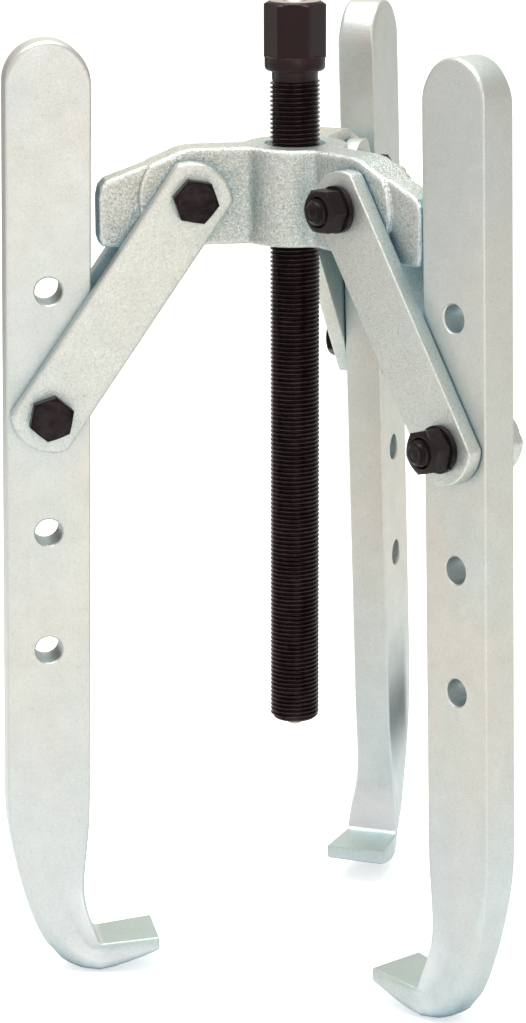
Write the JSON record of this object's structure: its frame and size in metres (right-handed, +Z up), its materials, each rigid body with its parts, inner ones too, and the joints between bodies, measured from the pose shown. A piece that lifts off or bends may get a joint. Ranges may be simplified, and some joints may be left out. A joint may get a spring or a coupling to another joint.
{
  "type": "gear puller",
  "caption": "Gear puller: forged yoke, long black forcing screw with hexagon head, and bar jaws hung on paired flat straps.",
  "frame": {"origin": "centre of the flat top face of the forcing screw's hexagon head, on the screw's axis", "axes": "+Z up along the forcing screw towards its hexagon head; the jaws hang towards -Z; arm a points at 190.33 degrees from +X, arm b at 310.33 and arm c at 70.33, counter-clockwise seen from above"},
  "size_m": [0.2312, 0.2599, 0.4464],
  "materials": {
    "zinc_bar": "zinc plated, satin, faint warm and blue-green tint",
    "zinc_forged": "zinc plated forging, slightly grainy satin",
    "black_oxide": "black oxide, semi-gloss",
    "bare_steel": "bare ground steel"
  },
  "bodies": {
    "yoke": {"yoke": "zinc_forged"},
    "ball": {"thrust_ball": "bare_steel"},
    "screw": {"forcing_screw": "black_oxide"},
    "link_a": {"strap_a_head_side": "zinc_bar", "strap_a_nut_side": "zinc_bar", "bolt_a_upper": "black_oxide", "washer_a_upper": "black_oxide", "nut_a_upper": "black_oxide", "bolt_a_lower": "black_oxide", "washer_a_lower": "black_oxide", "nut_a_lower": "black_oxide"},
    "jaw_a": {"jaw_a": "zinc_bar"},
    "link_b": {"strap_b_head_side": "zinc_bar", "strap_b_nut_side": "zinc_bar", "bolt_b_upper": "black_oxide", "washer_b_upper": "black_oxide", "nut_b_upper": "black_oxide", "bolt_b_lower": "black_oxide", "washer_b_lower": "black_oxide", "nut_b_lower": "black_oxide"},
    "jaw_b": {"jaw_b": "zinc_bar"},
    "link_c": {"strap_c_head_side": "zinc_bar", "strap_c_nut_side": "zinc_bar", "bolt_c_upper": "black_oxide", "washer_c_upper": "black_oxide", "nut_c_upper": "black_oxide", "bolt_c_lower": "black_oxide", "washer_c_lower": "black_oxide", "nut_c_lower": "black_oxide"},
    "jaw_c": {"jaw_c": "zinc_bar"}
  },
  "joints": [
    {"name": "screw_feed", "type": "slide", "parent": "yoke", "child": "ball", "axis": [0, 0, 1], "range_m": [-0.03, 0.215]},
    {"name": "screw_turn", "type": "hinge", "parent": "ball", "child": "screw", "pos_m": [0, 0, -0.1044], "axis": [0, 0, 1], "continuous": true},
    {"name": "strap_a_swing", "type": "hinge", "parent": "yoke", "child": "link_a", "pos_m": [-0.04693, -0.00855, -0.0844], "axis": [-0.1793, 0.9838, 0], "range_deg": [-7, 50]},
    {"name": "jaw_a_swing", "type": "hinge", "parent": "link_a", "child": "jaw_a", "pos_m": [-0.11109, -0.02025, -0.17912], "axis": [0.1793, -0.9838, 0], "range_deg": [-0.5, 12]},
    {"name": "strap_b_swing", "type": "hinge", "parent": "yoke", "child": "link_b", "pos_m": [0.03087, -0.03636, -0.0844], "axis": [-0.7623, -0.6472, 0], "range_deg": [-7, 50]},
    {"name": "jaw_b_swing", "type": "hinge", "parent": "link_b", "child": "jaw_b", "pos_m": [0.07364, -0.08674, -0.17852], "axis": [0.7623, 0.6472, 0], "range_deg": [-0.5, 12]},
    {"name": "strap_c_swing", "type": "hinge", "parent": "yoke", "child": "link_c", "pos_m": [0.01606, 0.04492, -0.0844], "axis": [0.9416, -0.3366, 0], "range_deg": [-7, 50]},
    {"name": "jaw_c_swing", "type": "hinge", "parent": "link_c", "child": "jaw_c", "pos_m": [0.03973, 0.11114, -0.17539], "axis": [-0.9416, 0.3366, 0], "range_deg": [-0.5, 12]}
  ],
  "couplings": [
    {"joint": "screw_turn", "follows": "screw_feed", "rad_per_m": 3141.6}
  ]
}
